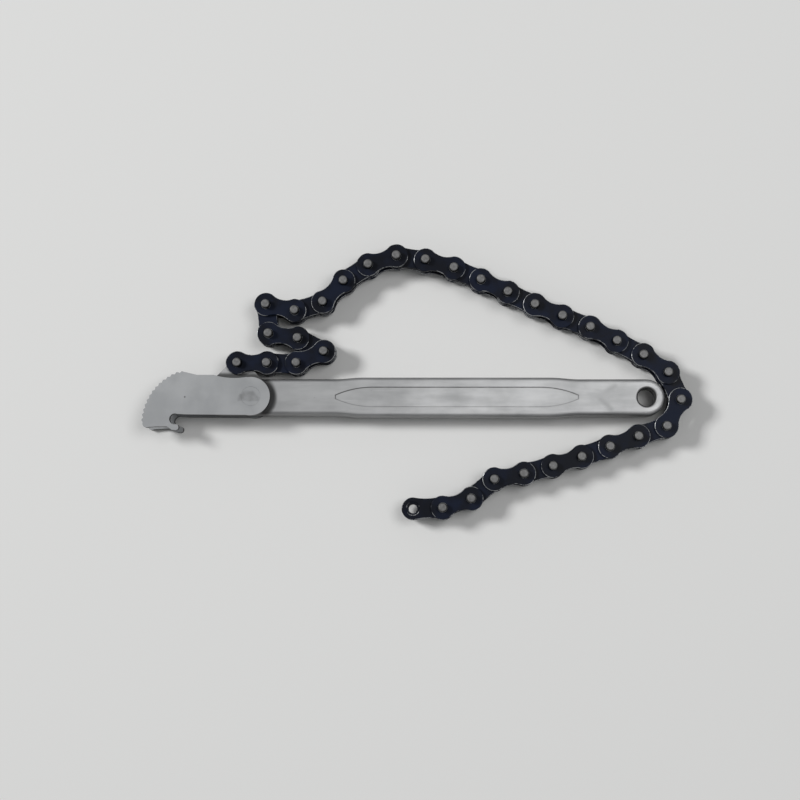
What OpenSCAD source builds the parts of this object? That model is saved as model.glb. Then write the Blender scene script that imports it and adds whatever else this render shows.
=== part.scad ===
// Chain pipe wrench, 300 mm size: a forged handle, a swinging toothed jaw of two plates and a bush chain.
// Millimetres. Origin at the centre of the hang hole, in the middle plane of the handle.
// +X runs from the jaw to the hang hole, +Y is the side of the chain lug, +Z is up through the hang hole.

/* [Handle] */
// distance from the jaw pivot to the hang hole
pivot_to_hole = 226.3; // [221:0.1:232]
// thickness of the bar
bar_t = 12; // [11:0.1:14]
// half height of the bar at the jaw and at the hang hole
bar_end_r = 10.4; // [9.8:0.1:11]
// half height of the wider grip in the middle
grip_half_h = 11.4; // [10.6:0.1:12.2]
// start of the grip, from the pivot
grip_start = 48; // [44:0.5:56]
// end of the grip, from the pivot
grip_stop = 188; // [180:0.5:196]
// length over which the bar widens into the grip
grip_blend = 16; // [8:0.5:22]
// rounding of the long edges of the bar
bar_edge_r = 2.2; // [1:0.1:3]
// reach of the rounded nose in front of the pivot, to the centre of its rounding
nose_reach = 18.4; // [14:0.1:20]

/* [Grip panel] */
// height of the recessed panel on each face
panel_h = 11.6; // [8:0.1:14]
// length of the recessed panel over its two blunt points
panel_l = 139.5; // [110:0.5:150]
// length of each point of the panel, if it ran out sharp
panel_point_l = 24; // [12:0.5:30]
// flat left at each point of the panel
panel_tip_h = 2.4; // [0.6:0.1:4]
// depth of the panel
panel_depth = 0.4; // [0.2:0.05:0.8]

/* [Hang hole] */
// radius of the hang hole
hang_hole_r = 5.1; // [3.5:0.1:6]
// rounding of the rim of the hang hole
hang_rim_r = 1.4; // [0.6:0.1:2]

/* [Chain lug] */
// chain lug's pin in front of the pivot
lug_forward = 8.5; // [7:0.1:10]
// chain lug's pin above the pivot
lug_rise = 19.8; // [19.2:0.1:22]
// radius of the lug around its pin
lug_r = 6.2; // [5:0.1:6.6]

/* [Jaw] */
// thickness of each jaw plate
jaw_t = 3.5; // [2.5:0.1:5]
// gap between a jaw plate and the handle
jaw_side_gap = 0.1; // [0.05:0.01:0.2]
// radius of the jaw's end around the pivot
jaw_end_r = 11.1; // [10.5:0.1:12]
// diameter of the jaw pivot pin
pivot_pin_d = 11; // [8:0.1:12]
// radial clearance of the pivot pin in the handle
pivot_clear = 0.05; // [0.02:0.01:0.1]
// radius of the toothed front edge, to the tooth tips
front_r = 31.6; // [30:0.1:33]
// centre of the front edge, ahead of the pivot
front_ahead = 31.3; // [30:0.1:33]
// centre of the front edge, below the pivot
front_below = 15.4; // [14:0.1:16]
// height of the jaw's top edge above the pivot, ahead of the relief
jaw_top = 12.3; // [11.6:0.1:13]
// depth of the jaw's bottom edge below the pivot, at the hook's mouth
jaw_bottom = 10.6; // [10:0.1:11]
// radius of the shallow relief in the top edge, below the first chain link
relief_r = 42; // [30:1:60]
// lowest point of the relief, ahead of the pivot
relief_ahead = 9.5; // [8:0.1:11]
// lowest point of the relief, above the pivot
relief_low = 10.5; // [10:0.1:11]
// depth of the chin below the pivot
chin_below = 18.2; // [17.8:0.1:18.8]
// depth of the lower edge below the pivot, between the chin and the hook
lower_edge_below = 17.5; // [17:0.1:17.6]
// length of the slope from the chin up to the lower edge
chin_slope_l = 7; // [5:0.5:9]
// centre of the chin's rounding, ahead of the pivot
chin_ahead = 59.8; // [59.6:0.1:60.4]
// rounding of the chin
chin_r = 2.4; // [1:0.1:3]
// number of teeth
tooth_count = 13; // [9:1:16]
// depth of the teeth
tooth_depth = 1; // [0.5:0.1:1.4]
// width of a tooth at its foot, as a share of the step from tooth to tooth
tooth_overlap = 1.1; // [1.05:0.05:1.3]
// direction of the first tooth, seen from the centre of the front edge
tooth_first_deg = 112; // [108:1:116]
// direction of the last tooth
tooth_last_deg = 177; // [170:1:180]
// radius of the hook's seat for a chain pin
hook_seat_r = 3.1; // [2.8:0.1:3.4]
// centre of the hook's seat, ahead of the pivot
hook_ahead = 43.6; // [42:0.1:45]
// centre of the hook's seat, below the pivot
hook_below = 13.2; // [12.5:0.1:14]
// length of the hook's mouth behind the seat's centre
hook_mouth = 7; // [6:0.1:8]
// thickness of the hook's finger under the seat
hook_finger_t = 3.3; // [2.4:0.1:4]
// reach of the finger behind the seat's centre
hook_finger_reach = 2.2; // [1:0.1:4]
// distance of the jaw spacer ahead of the pivot
spacer_ahead = 38.4; // [36:0.1:40]
// outer diameter of the jaw spacer
spacer_d = 10; // [8:0.1:11]
// diameter of the spacer's tenons
spacer_tenon_d = 5; // [3:0.1:6]
// length of each tenon, in a blind hole in its jaw plate
spacer_tenon_l = 2; // [1:0.1:2.4]

/* [Chain] */
// chain pitch
pitch = 17.1; // [16.8:0.05:17.4]
// number of outer links, and of inner links
link_pairs = 16; // [14:1:18]
// diameter of the link pins
pin_d = 5; // [4:0.1:5.4]
// chamfer on the ends of the link pins
pin_chamfer = 0.5; // [0.2:0.1:1]
// radial clearance of a pin in its bush and in the lug
pin_clear = 0.06; // [0.02:0.01:0.1]
// radius of the outer plates' rounded ends
outer_end_r = 6.8; // [6:0.1:7]
// height of the outer plates' waist
outer_waist_h = 9.2; // [7:0.1:10]
// radius of the inner plates' rounded ends
inner_end_r = 6.4; // [5.8:0.1:6.8]
// height of the inner plates' waist
inner_waist_h = 11; // [8:0.1:12]
// thickness of every link plate
plate_t = 2; // [1.5:0.1:2.4]
// radius of a waist's flanks, as a share of the radius that would meet the round ends without a crease
flank_ease = 1.08; // [1.04:0.01:1.2]
// length of a bush, which is the width over the inner plates
inner_w = 7.2; // [6:0.1:8]
// side gap between inner and outer plates
link_side_gap = 0.2; // [0.1:0.05:0.4]
// outer diameter of the bushes
bush_d = 7.6; // [7:0.1:9]
// radial gap left in a pressed seat
press_gap = 0.02; // [0.01:0.01:0.04]
// gap between the laid chain and the end of the handle
wrap_gap = 2; // [0.8:0.1:3]

/* [Hidden] */
$fn = 96;
pivot = [-pivot_to_hole, 0];
pin_r = pin_d / 2;
bar_half_t = bar_t / 2;
jaw_inner_z = bar_half_t + jaw_side_gap;
jaw_outer_z = jaw_inner_z + jaw_t;
outer_inner_z = inner_w / 2 + link_side_gap;
tooth_step_deg = (tooth_last_deg - tooth_first_deg) / (tooth_count - 1);
front_centre = [-front_ahead, -front_below];
hook_centre = [-hook_ahead, -hook_below];
// a cut reaches this far past the face it opens
past = 1;
// a straight edge of the jaw enters a round one this far inside its tangent
edge_ease = 0.25;
sections_per_corner = 5;
sections_per_blend = 7;

// headings of the links as the chain lies, in whole degrees: the fold behind the jaw, the shape of the
// arch over the handle, and the turn round the handle's end with the tail beyond it
fold_shape = [0, 0, 23, 153, 171, 96, -12, 17, 46];
arch_shape = [46, 30, 4, -4, -12, -13, -13, -11, -10, -16];
tail_headings = [-28, -36, -66, -118, -160, -160, -160, -162, -165, -169, -140, -162, -178];
// the turn's outermost pin is this many links into tail_headings, in this direction from the hang hole
turn_links = 3;
turn_deg = -4;

function unit(deg) = [cos(deg), sin(deg)];
function sum_of(v, i = 0) = i >= len(v) ? [0, 0] : v[i] + sum_of(v, i + 1);
function run_of(headings) = pitch * sum_of([for (deg = headings) unit(deg)]);
function first_of(v, n) = [for (i = [0:1:n - 1]) v[i]];

lug_pin = pivot + [-lug_forward, lug_rise];
turn_pin = (bar_end_r + wrap_gap + outer_end_r) * unit(turn_deg);
arch_to = turn_pin - run_of(first_of(tail_headings, turn_links));
function bent(bend) = run_of([for (deg = arch_shape) bend * deg]);

// the fold stays as it is where the arch, bent a little at least, reaches the turn, and opens where it can't
least_bend = 0.6;
function folded(fold) = [for (deg = fold_shape) fold * deg];
function span_from(fold) = norm(arch_to - lug_pin - run_of(folded(fold)));
function solve_fold(low, high, steps) =
    steps == 0 ? low
    : span_from((low + high) / 2) > norm(bent(least_bend)) ? solve_fold(low, (low + high) / 2, steps - 1)
    : solve_fold((low + high) / 2, high, steps - 1);
fold_headings = folded(span_from(1) > norm(bent(least_bend)) ? solve_fold(0, 1, 40) : 1);

// the arch keeps its shape but is bent more or less until it spans from the fold to the turn
arch_from = lug_pin + run_of(fold_headings);
arch_span = norm(arch_to - arch_from);
arch_span_deg = atan2(arch_to[1] - arch_from[1], arch_to[0] - arch_from[0]);
function solve_bend(low, high, steps) =
    steps == 0 ? (low + high) / 2
    : norm(bent((low + high) / 2)) > arch_span ? solve_bend((low + high) / 2, high, steps - 1)
    : solve_bend(low, (low + high) / 2, steps - 1);
arch_bend = solve_bend(0, 2.5, 40);
arch_turn = arch_span_deg - atan2(bent(arch_bend)[1], bent(arch_bend)[0]);
arch_headings = [for (deg = arch_shape) arch_bend * deg + arch_turn];

// a longer chain goes straight on from its last link
all_headings = concat(fold_headings, arch_headings, tail_headings);
function heading(i) = all_headings[min(i, len(all_headings) - 1)];
function pin_at(i) = i == 0 ? lug_pin : pin_at(i - 1) + pitch * unit(heading(i - 1));

function two_digits(n) = n < 10 ? str("0", n) : str(n);
function names(stem) = [for (n = [1:link_pairs]) str(stem, two_digits(n))];

// half of the bar's section for a given half height: corner arcs from the upper face to the lower face
function bar_corner(half_h, up) = [for (i = [0:sections_per_corner])
    let (deg = up > 0 ? 90 - 90 * i / sections_per_corner : -90 * i / sections_per_corner)
    [half_h - bar_edge_r, up * (bar_half_t - bar_edge_r)] + bar_edge_r * unit(deg)];
function bar_side(half_h) = concat(bar_corner(half_h, 1), bar_corner(half_h, -1));
function bar_section(half_h) = concat(bar_side(half_h), [for (p = bar_side(half_h)) -p]);
function ease(t) = (1 - cos(180 * t)) / 2;
function blend_stations(start, from_h, to_h) = [for (i = [0:sections_per_blend])
    let (t = i / sections_per_blend) [start + t * grip_blend, from_h + (to_h - from_h) * ease(t)]];
bar_stations = concat([[0, bar_end_r]],
    blend_stations(grip_start, bar_end_r, grip_half_h),
    blend_stations(grip_stop - grip_blend, grip_half_h, bar_end_r),
    [[pivot_to_hole, bar_end_r]]);

// a body through closed sections of equal point count, each given as points in space
module loft(sections) {
    per = len(sections[0]);
    last = len(sections) - 1;
    walls = [for (s = [0:last - 1], i = [0:per - 1])
        let (a = s * per + i, b = s * per + (i + 1) % per) each [[a, b, b + per], [a, b + per, a + per]]];
    first_cap = [for (i = [0:per - 1]) per - 1 - i];
    last_cap = [for (i = [0:per - 1]) last * per + i];
    polyhedron([for (section = sections) each section], concat([first_cap, last_cap], walls));
}

module grip_bar() {
    translate(pivot)
        loft([for (station = bar_stations)
            [for (p = bar_section(station[1])) [station[0], p[0], p[1]]]]);
}

// disc with the bar's rounded edge all round
module bar_end() {
    rotate_extrude()
        polygon(concat([[0, bar_half_t]], bar_side(bar_end_r), [[0, -bar_half_t]]));
}

// tongue between the jaw plates, with its rounded nose
module tongue() {
    translate(pivot)
        linear_extrude(bar_t, center = true) {
            circle(bar_end_r);
            translate([-nose_reach, 0])
                circle(bar_end_r);
            translate([-nose_reach, -bar_end_r])
                square([nose_reach, 2 * bar_end_r]);
        }
}

// lug between the plates of the first link: a round eye on a gusset whose flanks slope at 45 degrees,
// the front one tangent to the nose
module lug() {
    front_foot = pivot + [-nose_reach, 0] + bar_end_r * unit(135);
    half_foot = lug_pin[0] - front_foot[0];
    linear_extrude(inner_w, center = true) {
        translate(lug_pin)
            circle(lug_r);
        polygon([front_foot, [lug_pin[0], 0], front_foot + [2 * half_foot, 0],
            front_foot + [half_foot, half_foot]]);
    }
}

// outline of the recessed panel, centred: a band with two pointed ends
module panel_outline() {
    point_r = (pow(panel_point_l, 2) + pow(panel_h / 2, 2)) / panel_h;
    // the point's two arcs are this far past the band where the flat cuts them off
    tip_past_band = sqrt(pow(point_r, 2) - pow(point_r - (panel_h - panel_tip_h) / 2, 2));
    band_half = panel_l / 2 - tip_past_band;
    square([2 * band_half, panel_h], center = true);
    for (side = [-1, 1])
        intersection() {
            translate([side * band_half, panel_h / 2 - point_r])
                circle(point_r);
            translate([side * band_half, point_r - panel_h / 2])
                circle(point_r);
            square([panel_l, panel_h], center = true);
        }
}

module hang_hole() {
    cylinder(r = hang_hole_r, h = bar_t + 2 * past, center = true);
    for (side = [-1, 1])
        scale([1, 1, side])
            translate([0, 0, bar_half_t - hang_rim_r])
                rotate_extrude()
                    difference() {
                        square([hang_hole_r + hang_rim_r, hang_rim_r + past]);
                        translate([hang_hole_r + hang_rim_r, 0])
                            circle(hang_rim_r);
                    }
}

module handle() {
    color([0.74, 0.75, 0.77])
        difference() {
            union() {
                grip_bar();
                bar_end();
                tongue();
                lug();
            }
            translate(pivot)
                cylinder(d = pivot_pin_d + 2 * pivot_clear, h = bar_t + 2 * past, center = true);
            translate(lug_pin)
                cylinder(r = pin_r + pin_clear, h = inner_w + 2 * past, center = true);
            hang_hole();
            for (side = [-1, 1])
                translate(pivot + [(grip_start + grip_stop) / 2, 0])
                    translate([0, 0, side * bar_half_t])
                        linear_extrude(2 * panel_depth, center = true)
                            panel_outline();
        }
}

// one tooth, pointing along +X from a tip at the front radius; neighbours overlap and meet in the valleys
module tooth() {
    foot_r = front_r - tooth_depth;
    half_foot = foot_r * tan(tooth_step_deg / 2) * tooth_overlap;
    buried_r = foot_r - 3 * tooth_depth;
    polygon([[front_r, 0], [foot_r, half_foot], [buried_r, half_foot], [buried_r, -half_foot],
        [foot_r, -half_foot]]);
}

// jaw plate seen from above, around the pivot
module jaw_outline() {
    root_r = front_r - tooth_depth;
    back_half_h = jaw_end_r - edge_ease;
    chin = [-chin_ahead, chin_r - chin_below];
    seat_low = -hook_below - hook_seat_r;
    finger_low = seat_low - hook_finger_t;
    finger_tip_x = -hook_ahead + hook_finger_reach - hook_finger_t / 2;
    finger_root_x = -hook_ahead - 2 * hook_seat_r;
    hump = front_centre + (front_r - tooth_depth / 2) * unit(tooth_first_deg - tooth_step_deg);
    first_foot = front_centre + root_r * unit(tooth_first_deg);
    under_teeth = front_centre + (root_r - 2 * tooth_depth) * unit(tooth_first_deg + tooth_step_deg);
    mouth_half_h = hook_seat_r - edge_ease / 2;
    difference() {
        union() {
            circle(jaw_end_r);
            // back of the plate, with the hump behind the first tooth
            polygon([[0, back_half_h], [-2 * relief_ahead, jaw_top], [-front_ahead, jaw_top], hump, under_teeth,
                [-hook_ahead - hook_seat_r / 2, -hook_below], [-spacer_ahead, -jaw_bottom], [0, -back_half_h]]);
            // toothed front, from the first tooth down to the chin and the root of the hook
            intersection() {
                translate(front_centre)
                    circle(root_r);
                polygon([hook_centre, 2 * first_foot - hook_centre, [-front_ahead - 2 * front_r, jaw_top],
                    [-front_ahead - 2 * front_r, chin[1]], chin,
                    [-chin_ahead, edge_ease - chin_below], [chin_slope_l - chin_ahead, -lower_edge_below],
                    [-hook_ahead - hook_seat_r, -lower_edge_below]]);
            }
            translate(front_centre)
                for (i = [0:tooth_count - 1])
                    rotate(tooth_first_deg + i * tooth_step_deg)
                        tooth();
            translate(chin)
                circle(chin_r);
            // finger of the hook
            polygon([[finger_root_x, -hook_below], [finger_root_x, seat_low],
                [-hook_ahead - hook_seat_r / 2, finger_low], [finger_tip_x, finger_low],
                [finger_tip_x, -hook_below]]);
            translate([finger_tip_x, seat_low - hook_finger_t / 2])
                circle(hook_finger_t / 2 + edge_ease / 2);
        }
        translate([-relief_ahead, relief_low + relief_r])
            circle(relief_r);
        // seat of the hook, with a mouth whose roof slopes down to the jaw's bottom edge
        translate(hook_centre) {
            circle(hook_seat_r);
            polygon([[0, -mouth_half_h], [0, mouth_half_h],
                [hook_mouth, hook_below - jaw_bottom - edge_ease / 2], [hook_mouth, -mouth_half_h]]);
        }
    }
}

// one jaw plate, its inner face against the handle on the given side, with a blind hole for the spacer
module jaw_plate(side) {
    color([0.80, 0.82, 0.85])
        translate(pivot)
            scale([1, 1, side])
                difference() {
                    translate([0, 0, jaw_inner_z])
                        linear_extrude(jaw_t)
                            difference() {
                                jaw_outline();
                                circle(pivot_pin_d / 2 + press_gap);
                            }
                    translate([-spacer_ahead, 0, jaw_inner_z - past])
                        cylinder(r = spacer_tenon_d / 2 + press_gap, h = past + spacer_tenon_l + jaw_side_gap);
                }
}

module jaw_plate_upper() {
    jaw_plate(1);
}

module jaw_plate_lower() {
    jaw_plate(-1);
}

// pin on which the jaw swings, ground flush with the plates
module jaw_pivot_pin() {
    color([0.72, 0.74, 0.77])
        translate(pivot)
            cylinder(d = pivot_pin_d, h = 2 * jaw_outer_z, center = true);
}

// spacer that holds the two jaw plates apart in front of the tongue, on a tenon in each plate
module jaw_spacer() {
    color([0.66, 0.67, 0.69])
        translate(pivot + [-spacer_ahead, 0]) {
            cylinder(d = spacer_d, h = 2 * jaw_inner_z, center = true);
            cylinder(d = spacer_tenon_d, h = 2 * (jaw_inner_z + spacer_tenon_l), center = true);
        }
}

// figure-eight link plate from the origin along +X: two round ends and a waist hollowed by two flanks
module link_plate(end_r, waist_h, hole_r) {
    waist = waist_h / 2;
    tangent_r = (pow(pitch / 2, 2) + pow(waist, 2) - pow(end_r, 2)) / (2 * (end_r - waist));
    flank_r = flank_ease * tangent_r;
    // the web between the ends is as high as the points where tangent flanks would leave the round ends
    web_half = end_r * (waist + tangent_r) / (end_r + tangent_r);
    linear_extrude(plate_t)
        difference() {
            union() {
                for (x = [0, pitch])
                    translate([x, 0])
                        circle(end_r);
                translate([0, -web_half])
                    square([pitch, 2 * web_half]);
            }
            for (side = [-1, 1])
                translate([pitch / 2, side * (waist + flank_r)])
                    circle(flank_r);
            for (x = [0, pitch])
                translate([x, 0])
                    circle(hole_r);
        }
}

// places its children at a link of the laid chain, the link along +X
module at_link(i) {
    translate(pin_at(i))
        rotate(heading(i))
            children();
}

module outer_plates(n) {
    color([0.07, 0.08, 0.11])
        at_link(2 * n - 2)
            for (side = [0, 1])
                mirror([0, 0, side])
                    translate([0, 0, outer_inner_z])
                        link_plate(outer_end_r, outer_waist_h, pin_r + press_gap);
}

// the two pins of an outer link, long enough to lie through both hooks of the jaw
module link_pins(n) {
    tip_r = pin_r - pin_chamfer;
    neck_z = jaw_outer_z - pin_chamfer;
    color([0.48, 0.49, 0.51])
        at_link(2 * n - 2)
            for (x = [0, pitch])
                translate([x, 0, 0])
                    rotate_extrude()
                        polygon([[0, -jaw_outer_z], [tip_r, -jaw_outer_z], [pin_r, -neck_z], [pin_r, neck_z],
                            [tip_r, jaw_outer_z], [0, jaw_outer_z]]);
}

// two inner plates pressed on two bushes
module inner_link(n) {
    color([0.06, 0.07, 0.10])
        at_link(2 * n - 1) {
            for (side = [0, 1])
                mirror([0, 0, side])
                    translate([0, 0, inner_w / 2 - plate_t])
                        link_plate(inner_end_r, inner_waist_h, bush_d / 2 + press_gap);
            for (x = [0, pitch])
                translate([x, 0, 0])
                    difference() {
                        cylinder(d = bush_d, h = inner_w, center = true);
                        cylinder(r = pin_r + pin_clear, h = inner_w + 2 * past, center = true);
                    }
        }
}

handle();
jaw_plate_upper();
jaw_plate_lower();
jaw_pivot_pin();
jaw_spacer();
for (n = [1:link_pairs]) {
    outer_plates(n);
    link_pins(n);
    inner_link(n);
}
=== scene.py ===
"""Looks of the chain pipe wrench: satin chrome handle and jaw, blue-black chain, bright pin ends."""

import math

import bpy
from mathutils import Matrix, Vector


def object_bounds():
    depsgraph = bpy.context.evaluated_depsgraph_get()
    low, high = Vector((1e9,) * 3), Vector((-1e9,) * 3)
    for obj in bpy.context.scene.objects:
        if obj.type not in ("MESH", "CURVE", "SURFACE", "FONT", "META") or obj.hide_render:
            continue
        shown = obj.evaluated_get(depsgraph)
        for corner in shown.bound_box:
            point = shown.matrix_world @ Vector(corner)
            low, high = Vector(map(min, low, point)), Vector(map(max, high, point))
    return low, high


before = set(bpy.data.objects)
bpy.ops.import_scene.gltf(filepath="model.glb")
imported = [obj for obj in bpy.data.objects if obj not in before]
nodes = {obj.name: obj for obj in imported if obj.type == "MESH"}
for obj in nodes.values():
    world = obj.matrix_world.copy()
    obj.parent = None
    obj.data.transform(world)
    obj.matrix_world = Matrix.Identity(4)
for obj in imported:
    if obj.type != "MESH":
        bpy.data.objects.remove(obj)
cad_low, cad_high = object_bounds()

MM = 0.001
FLOOR_Z = cad_low.z - 0.05 * MM
PIVOT_X = -226.3 * MM
JAW_END_RADIUS = 11.1 * MM
JAW_BACK_Y = 12.9 * MM
JAW_PIT = (-264.3 * MM, -0.5 * MM)
JAW_PIT_RADIUS = 0.65 * MM
SMUDGE = (-227.7 * MM, -3.1 * MM)
SMUDGE_RADIUS = 7.2 * MM
SMUDGE_RAGGED = 2.4 * MM
JAW_SHADOW_FULL = 1.5 * MM
JAW_SHADOW_END = 4.6 * MM
SHADE_GRADIENT_FULL = 25.0 * MM
SHADE_GRADIENT_END = 120.0 * MM
HOLE_RIM_RADIUS = 6.5 * MM
HOLE_RIM_SHADE = 0.9 * MM
PANEL_X = -108.3 * MM
PANEL_HALF_HEIGHT = 5.8 * MM
PANEL_HALF_LENGTH = 69.75 * MM
PANEL_HALF_BAND = 48.23 * MM
PANEL_POINT_RADIUS = 52.55 * MM
MARK = (-27.4 * MM, 0.3 * MM)
MARK_UPPER = (-18.0 * MM, 6.2 * MM)
MARK_LOWER = (-20.4 * MM, -7.0 * MM)
MARK_HALF_WIDTH = 2.6 * MM
FLOOR_SIDE = 8.0
FLOOR_COLOUR = (0.80, 0.80, 0.79, 1.0)
SKY_COLOUR = (0.80, 0.81, 0.82, 1.0)
SKY_STRENGTH = 0.24
LAMP_TARGET = (-0.12, 0.0, 0.0)
IMAGE_WIDTH_PX = 800
FOCAL_PX = 1570.78
CAMERA_PLACE = (-0.100, -0.100, 0.900)
CAMERA_TURN = (0.10955, 0.04482, 0.00572)


class Value:
    """A shader socket that works in Python expressions: each operator adds a Math node."""

    def __init__(self, finish, socket):
        self.finish = finish
        self.socket = socket

    def __add__(self, other):
        return self.finish.maths("ADD", self, other)

    def __radd__(self, other):
        return self.finish.maths("ADD", other, self)

    def __sub__(self, other):
        return self.finish.maths("SUBTRACT", self, other)

    def __rsub__(self, other):
        return self.finish.maths("SUBTRACT", other, self)

    def __mul__(self, other):
        return self.finish.maths("MULTIPLY", self, other)

    def __rmul__(self, other):
        return self.finish.maths("MULTIPLY", other, self)

    def __pow__(self, power):
        return self.finish.maths("POWER", self, power)

    def __abs__(self):
        return self.finish.maths("ABSOLUTE", self)


class Finish:
    """A material and the means to build its nodes."""

    def __init__(self, name):
        self.material = bpy.data.materials.new(name)
        self.material.use_nodes = True
        self.tree = self.material.node_tree
        self.shader = self.tree.nodes["Principled BSDF"]
        self.place = self.node("ShaderNodeTexCoord", {}, {}, "Object")
        self.facing = self.node("ShaderNodeTexCoord", {}, {}, "Normal")

    def node(self, kind, settings, sockets, output=0):
        """Adds a node, sets its settings, then its sockets, and returns one of its outputs."""
        made = self.tree.nodes.new(kind)
        for name, setting in settings.items():
            setattr(made, name, setting)
        for name, value in sockets.items():
            self.feed(made.inputs[name], value)
        return Value(self, made.outputs[output])

    def feed(self, socket, value):
        """Links a Value to a socket, or sets the socket to a plain number or colour."""
        if isinstance(value, Value):
            self.tree.links.new(value.socket, socket)
        else:
            socket.default_value = value

    def maths(self, operation, first, second=0.0):
        """One Math node on two values or numbers."""
        return self.node("ShaderNodeMath", {"operation": operation}, {0: first, 1: second})

    def step(self, value, low, high):
        """Rises smoothly from 0 at low to 1 at high; high may be the smaller one."""
        return self.node(
            "ShaderNodeMapRange",
            {"interpolation_type": "SMOOTHSTEP"},
            {"Value": value, "From Min": low, "From Max": high},
        )

    def noise(self, scale, detail=3.0, stretch=(1.0, 1.0, 1.0)):
        """Noise between 0 and 1 on object coordinates, with scale in features per metre."""
        spread = self.node("ShaderNodeMapping", {}, {"Vector": self.place, "Scale": stretch})
        sockets = {"Vector": spread, "Scale": scale, "Detail": detail}
        return self.node("ShaderNodeTexNoise", {}, sockets, "Fac")

    def greater(self, first, second):
        return self.maths("MAXIMUM", first, second)

    def axis(self, vector, name):
        """The X, Y or Z of a vector."""
        return self.node("ShaderNodeSeparateXYZ", {}, {"Vector": vector}, name)

    def blend(self, factor, first, second):
        """Mixes two colours; 6 and 7 are the node's colour inputs and 2 its colour output."""
        return self.node("ShaderNodeMix", {"data_type": "RGBA"}, {0: factor, 6: first, 7: second}, 2)

    def bump(self, height, strength, distance):
        sockets = {"Height": height, "Strength": strength, "Distance": distance}
        return self.node("ShaderNodeBump", {}, sockets)

    def set(self, **sockets):
        """Sets or links the main shader's sockets, named with underscores for spaces."""
        for name, value in sockets.items():
            self.feed(self.shader.inputs[name.replace("_", " ")], value)


def grey(level, blue=0.0):
    """A grey, tinted towards blue by a small share."""
    return (level * (1 - blue), level, level * (1 + blue), 1.0)


def panel_rim(finish):
    """Distance from the outline of the handle's recessed panel, negative inside it."""
    along = abs(finish.axis(finish.place, "X") - PANEL_X)
    past_band = finish.greater(along - PANEL_HALF_BAND, 0.0)
    across = abs(finish.axis(finish.place, "Y")) + (PANEL_POINT_RADIUS - PANEL_HALF_HEIGHT)
    past_flanks = (past_band**2 + across**2) ** 0.5 - PANEL_POINT_RADIUS
    return finish.greater(past_flanks, along - PANEL_HALF_LENGTH)


def stroke(finish, start, stop, half_width):
    """1 along a straight mark between two points of both faces, fading to 0 beside it."""
    span = [stop[axis] - start[axis] for axis in range(2)]
    length = math.hypot(*span)
    from_x = finish.axis(finish.place, "X") - start[0]
    from_y = finish.axis(finish.place, "Y") - start[1]
    along = from_x * (span[0] / length) + from_y * (span[1] / length)
    beyond = along - finish.maths("MINIMUM", finish.greater(along, 0.0), length)
    beside = from_y * (span[0] / length) - from_x * (span[1] / length)
    return finish.step((beyond**2 + beside**2) ** 0.5, half_width, 0.0)


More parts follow.
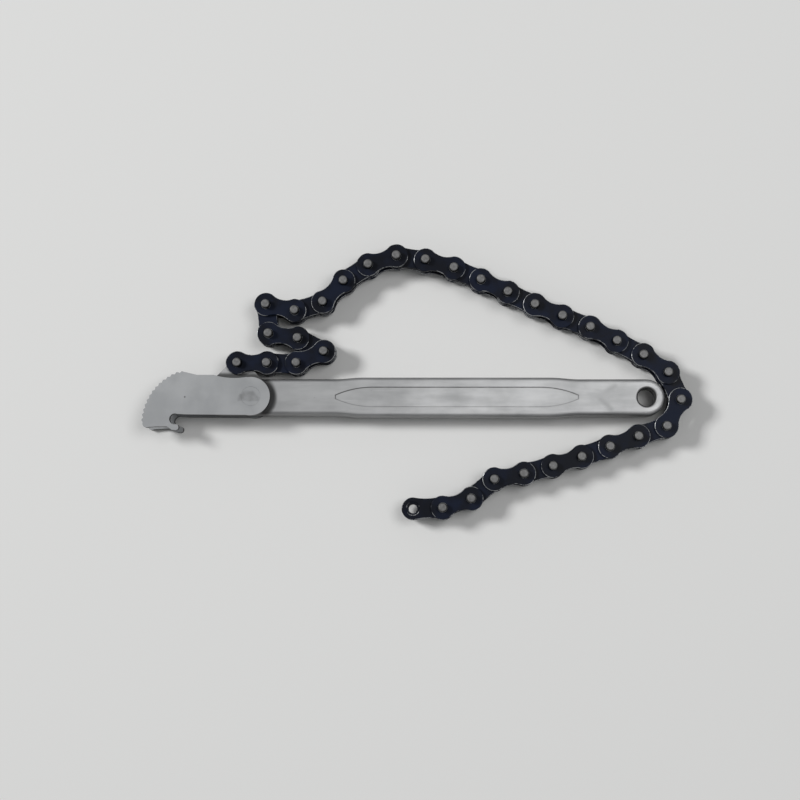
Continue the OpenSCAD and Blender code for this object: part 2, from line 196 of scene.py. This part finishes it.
def forged_chrome():
    """Satin chrome over a forging, with clouds, fine peel, scratches, pits, a forging mark and painted
    shade.

    The painted shade lies round the panel's outline, in the hang hole's rim, on the forging mark, along
    the jaw's top edge and as the shadow of the jaw's end on the handle. The sides are painted darker
    than the faces as shade, and painted shade darkens the handle near the jaw, thinning out towards the
    grip.
    """
    finish = Finish("forged_chrome")
    x = finish.axis(finish.place, "X")
    y = finish.axis(finish.place, "Y")
    upright = abs(finish.axis(finish.facing, "Z"))
    from_pivot = x - PIVOT_X

    clouds = finish.noise(scale=38.0, detail=4.0)
    smears = finish.noise(scale=120.0, stretch=(0.35, 1.6, 1.0))
    peel = finish.noise(scale=1500.0, detail=2.0)
    grain = finish.noise(scale=2600.0, detail=2.0, stretch=(1.0, 0.12, 1.0))
    streaks = finish.noise(scale=420.0, detail=2.0, stretch=(0.06, 2.4, 1.0))
    scratches = finish.step(streaks, 0.69, 0.75)
    pits = finish.step(finish.noise(scale=900.0, detail=1.0), 0.80, 0.84)

    tone = finish.step(clouds * 0.6 + smears * 0.4, 0.30, 0.72)
    metal = finish.blend(tone, grey(0.38, blue=0.010), grey(0.62, blue=0.006))
    # Painted shade: the handle darker near the jaw, thinning out towards the grip, standing in for the
    # light's fall-off along it.
    shade_gradient = finish.step(from_pivot, SHADE_GRADIENT_END, SHADE_GRADIENT_FULL) * (0.20 + clouds * 0.40)
    gradient_shaded = finish.blend(shade_gradient, metal, grey(0.22, blue=0.02))
    scratched = finish.blend(scratches * 0.35, gradient_shaded, grey(0.72))
    # Painted shade: the side walls darker than the faces.
    shaded_sides = finish.step(upright, 0.85, 0.30) * (0.40 + clouds * 0.20)
    sides_shaded = finish.blend(shaded_sides, scratched, grey(0.10))

    # The forging mark: a dent in the bump, with the crease's shading painted into the colour as shade.
    upper_stroke = stroke(finish, MARK, MARK_UPPER, MARK_HALF_WIDTH)
    lower_stroke = stroke(finish, MARK, MARK_LOWER, MARK_HALF_WIDTH)
    crease_and_shade = finish.greater(upper_stroke, lower_stroke) * finish.step(smears, 0.25, 0.60)

    # Painted shade along the recessed panel's outline, darker on its upper side as the light falls
    # there, varied in patches.
    upper_side = finish.step(y, -4.0 * MM, 4.0 * MM)
    panel_line = finish.step(abs(panel_rim(finish) + 0.22 * MM), 0.50 * MM, 0.12 * MM)
    patches = finish.noise(scale=260.0)
    panel_shade = panel_line * (0.35 + upper_side * 0.35) * (0.55 + patches * 0.8)

    # Painted shadow: the dark crescent that the jaw's round end casts on the handle, and a painted
    # shadow band along the jaw's top edge.
    past_jaw_end = (from_pivot**2 + y**2) ** 0.5 - JAW_END_RADIUS
    beside_jaw = finish.step(y, JAW_BACK_Y + 2.1 * MM, JAW_BACK_Y)
    jaw_edge_shadow = beside_jaw * finish.step(from_pivot, 3.0 * MM, -3.0 * MM)
    jaw_shadow_mask = finish.greater(finish.step(past_jaw_end, JAW_SHADOW_END, JAW_SHADOW_FULL), jaw_edge_shadow)
    jaw_shadow = jaw_shadow_mask * (0.80 + smears * 0.20)

    # Painted shade in the hang hole's rounded rim.
    from_hole = (x**2 + y**2) ** 0.5
    hole_rim = finish.step(from_hole, HOLE_RIM_RADIUS, HOLE_RIM_RADIUS - HOLE_RIM_SHADE)
    rim_shade = hole_rim * (0.45 + smears * 0.35)

    # All the painted shade above, and the real pits, darken the colour towards grey(0.05).
    painted_shade = finish.greater(panel_shade + crease_and_shade * 0.24, finish.greater(jaw_shadow, rim_shade))
    relief = peel * 0.6 + grain * 0.25 - pits * 0.8 - crease_and_shade * 0.3
    finish.set(
        Base_Color=finish.blend(finish.greater(pits * 0.8, painted_shade), sides_shaded, grey(0.05)),
        Metallic=0.9,
        Roughness=0.46 + clouds * 0.10 + scratches * 0.05,
        Normal=finish.bump(relief, strength=0.12, distance=0.25 * MM),
    )
    return finish.material


def ground_chrome():
    """Jaw plates: flatter and bluer than the handle, with painted shade on their side walls, a smudge
    and small pits.
    """
    finish = Finish("ground_chrome")
    x = finish.axis(finish.place, "X")
    y = finish.axis(finish.place, "Y")
    z = finish.axis(finish.place, "Z")
    upright = abs(finish.axis(finish.facing, "Z"))

    clouds = finish.noise(scale=55.0, detail=4.0)
    peel = finish.noise(scale=1300.0, detail=2.0)
    pits = finish.step(finish.noise(scale=760.0, detail=1.0), 0.80, 0.83)

    along = x - SMUDGE[0]
    above = y - SMUDGE[1]
    ragged = (finish.noise(scale=420.0, detail=2.0) - 0.5) * SMUDGE_RAGGED
    disc = finish.step((along**2 + above**2) ** 0.5 + ragged, SMUDGE_RADIUS, 0.75 * SMUDGE_RADIUS)
    half_moon = disc * finish.step(above + ragged * 0.5, -0.3 * MM, 0.8 * MM)
    blotches = finish.step(finish.noise(scale=240.0, detail=2.0), 0.30, 0.70)
    smudge = half_moon * (0.45 + blotches * 0.55)

    pit_x = x - JAW_PIT[0]
    pit_y = y - JAW_PIT[1]
    pit_disc = finish.step((pit_x**2 + pit_y**2) ** 0.5, JAW_PIT_RADIUS, 0.30 * MM)
    upper_pit = pit_disc * finish.step(z, 0.0, 1.0 * MM)

    metal = finish.blend(finish.step(clouds, 0.32, 0.70), grey(0.33, blue=0.025), grey(0.39, blue=0.02))
    smudged = finish.blend(smudge * 0.45, metal, grey(0.13))
    # Painted shade: the plates' side walls darker than their faces.
    shaded_walls = finish.step(upright, 0.60, 0.20) * (0.70 + clouds * 0.30)
    walls_shaded = finish.blend(shaded_walls, smudged, grey(0.045, blue=0.02))
    finish.set(
        Base_Color=finish.blend(finish.greater(pits, upper_pit) * 0.7, walls_shaded, grey(0.05)),
        Metallic=0.9,
        Roughness=0.48 + clouds * 0.08 + smudge * 0.08,
        Normal=finish.bump(peel - pits, strength=0.08, distance=0.2 * MM),
    )
    return finish.material


def chain_blue():
    """Blue-black heat-treated plates, with broken bright lines where the edges have rubbed."""
    finish = Finish("chain_blue")
    upright = abs(finish.axis(finish.facing, "Z"))
    clouds = finish.noise(scale=90.0, detail=4.0)
    skin = finish.noise(scale=1900.0, detail=2.0)
    specks = finish.step(finish.noise(scale=1700.0, detail=2.0), 0.70, 0.78)
    rub_patches = finish.step(finish.noise(scale=130.0), 0.43, 0.55)
    rub_breaks = finish.step(finish.noise(scale=1000.0, detail=2.0), 0.32, 0.50)
    edge = finish.step(upright, 0.25, 0.50) * finish.step(upright, 0.99, 0.93)
    rubbed = edge * rub_patches * rub_breaks
    near_black = (0.0028, 0.0040, 0.0085, 1.0)
    deep_blue = (0.0042, 0.0080, 0.022, 1.0)
    steel = finish.blend(finish.step(clouds, 0.35, 0.68), near_black, deep_blue)
    dusty = finish.blend(specks * 0.22, steel, grey(0.06, blue=0.03))
    finish.set(
        Base_Color=finish.blend(rubbed, dusty, grey(0.58, blue=0.02)),
        Metallic=rubbed * 0.8,
        Roughness=0.38 + clouds * 0.16 - rubbed * 0.08,
        Specular_IOR_Level=0.14,
        Normal=finish.bump(skin, strength=0.10, distance=0.2 * MM),
    )
    return finish.material


def pin_ends():
    """Link pins: cropped pale end faces, a duller rim and dark oiled sides."""
    finish = Finish("pin_ends")
    upright = abs(finish.axis(finish.facing, "Z"))
    mottle = finish.noise(scale=620.0)
    face = finish.step(upright, 0.35, 0.62)
    rim = finish.step(upright, 0.98, 0.80)
    cut = finish.blend(finish.step(mottle, 0.30, 0.70), grey(0.14), grey(0.21))
    rimmed = finish.blend(rim * 0.30, cut, grey(0.10))
    side = finish.blend(mottle, grey(0.012, blue=0.08), grey(0.03, blue=0.05))
    finish.set(
        Base_Color=finish.blend(face, side, rimmed),
        Metallic=0.8,
        Roughness=0.44 + mottle * 0.14,
        Normal=finish.bump(mottle, strength=0.14, distance=0.3 * MM),
    )
    return finish.material


def plain_steel():
    """Turned steel inside the jaw, lightly ringed by the tool and dulled by oil."""
    finish = Finish("plain_steel")
    rings = finish.noise(scale=900.0, detail=2.0, stretch=(0.15, 0.15, 1.0))
    oil = finish.noise(scale=160.0)
    wiped = finish.step(oil, 0.35, 0.7)
    finish.set(
        Base_Color=finish.blend(wiped, grey(0.42, blue=0.01), grey(0.56, blue=0.01)),
        Metallic=1.0,
        Roughness=0.36 + oil * 0.14,
        Normal=finish.bump(rings, strength=0.08, distance=0.2 * MM),
    )
    return finish.material


def ease_edges(node, width, segments):
    """Rounds a node's sharp edges with live modifiers; the CAD mesh under them stays as it is."""
    merge = node.modifiers.new("merge", "WELD")
    merge.merge_threshold = 0.001 * MM
    flats = node.modifiers.new("flats", "DECIMATE")
    flats.decimate_type = "DISSOLVE"
    flats.angle_limit = math.radians(0.4)
    bevel = node.modifiers.new("edges", "BEVEL")
    bevel.limit_method = "ANGLE"
    bevel.angle_limit = math.radians(38)
    bevel.width = width
    bevel.segments = segments
    bevel.use_clamp_overlap = True
    bevel.harden_normals = True


def dress(names, material, width, segments):
    """Gives nodes a material and rounded edges."""
    for name in names:
        node = nodes[name]
        node.data.materials.clear()
        node.data.materials.append(material)
        ease_edges(node, width, segments)


def named(stem):
    """The nodes whose names start with a stem."""
    return sorted(name for name in nodes if name.startswith(stem))


def floor():
    """Plain pale floor, just under the lowest faces of the wrench."""
    bpy.ops.object.select_all(action="DESELECT")
    bpy.ops.mesh.primitive_plane_add(size=FLOOR_SIDE, location=(0.0, 0.0, FLOOR_Z))
    plane = bpy.context.object
    plane.name = "floor"
    paint = Finish("floor_paint")
    paint.set(Base_Color=FLOOR_COLOUR, Roughness=0.95, Specular_IOR_Level=0.2)
    plane.data.materials.append(paint.material)


def softbox(name, place, size, watts):
    """A square area lamp turned towards the middle of the wrench."""
    bpy.ops.object.light_add(type="AREA", location=place)
    lamp = bpy.context.object
    lamp.name = name
    lamp.data.size = size
    lamp.data.energy = watts
    direction = lamp.location.copy()
    for axis in range(3):
        direction[axis] = LAMP_TARGET[axis] - place[axis]
    lamp.rotation_euler = direction.to_track_quat("-Z", "Y").to_euler()


def studio():
    """Dim pale surroundings, a key lamp on the jaw's side and a weaker one high past the hang hole."""
    world = bpy.data.worlds.new("studio")
    bpy.context.scene.world = world
    world.use_nodes = True
    sky = world.node_tree.nodes["Background"]
    sky.inputs["Color"].default_value = SKY_COLOUR
    sky.inputs["Strength"].default_value = SKY_STRENGTH
    softbox("lamp_left", place=(-2.98, 1.02, 2.80), size=0.94, watts=104.0)
    softbox("lamp_right", place=(0.65, 0.25, 1.90), size=0.9, watts=11.5)


def camera():
    """The photograph's view: from above, a little right of the middle and below it."""
    lens = bpy.data.cameras.new("view")
    lens.sensor_width = 36.0
    lens.lens = FOCAL_PX / IMAGE_WIDTH_PX * lens.sensor_width
    lens.clip_start = 0.01
    lens.clip_end = 50.0
    view = bpy.data.objects.new("view", lens)
    view.location = CAMERA_PLACE
    view.rotation_euler = CAMERA_TURN
    bpy.context.scene.collection.objects.link(view)
    bpy.context.scene.camera = view


dress(["handle"], forged_chrome(), width=0.16 * MM, segments=2)
jaw_chrome = ground_chrome()
dress(named("jaw_plate_"), jaw_chrome, width=0.08 * MM, segments=2)
dress(["jaw_pivot_pin"], jaw_chrome, width=0.03 * MM, segments=1)
dress(["jaw_spacer"], plain_steel(), width=0.10 * MM, segments=2)
blue = chain_blue()
dress(named("outer_plates_"), blue, width=0.38 * MM, segments=3)
dress(named("inner_link_"), blue, width=0.30 * MM, segments=3)
dress(named("link_pins_"), pin_ends(), width=0.12 * MM, segments=2)

floor()
studio()
camera()
bpy.context.scene.view_settings.view_transform = "Standard"
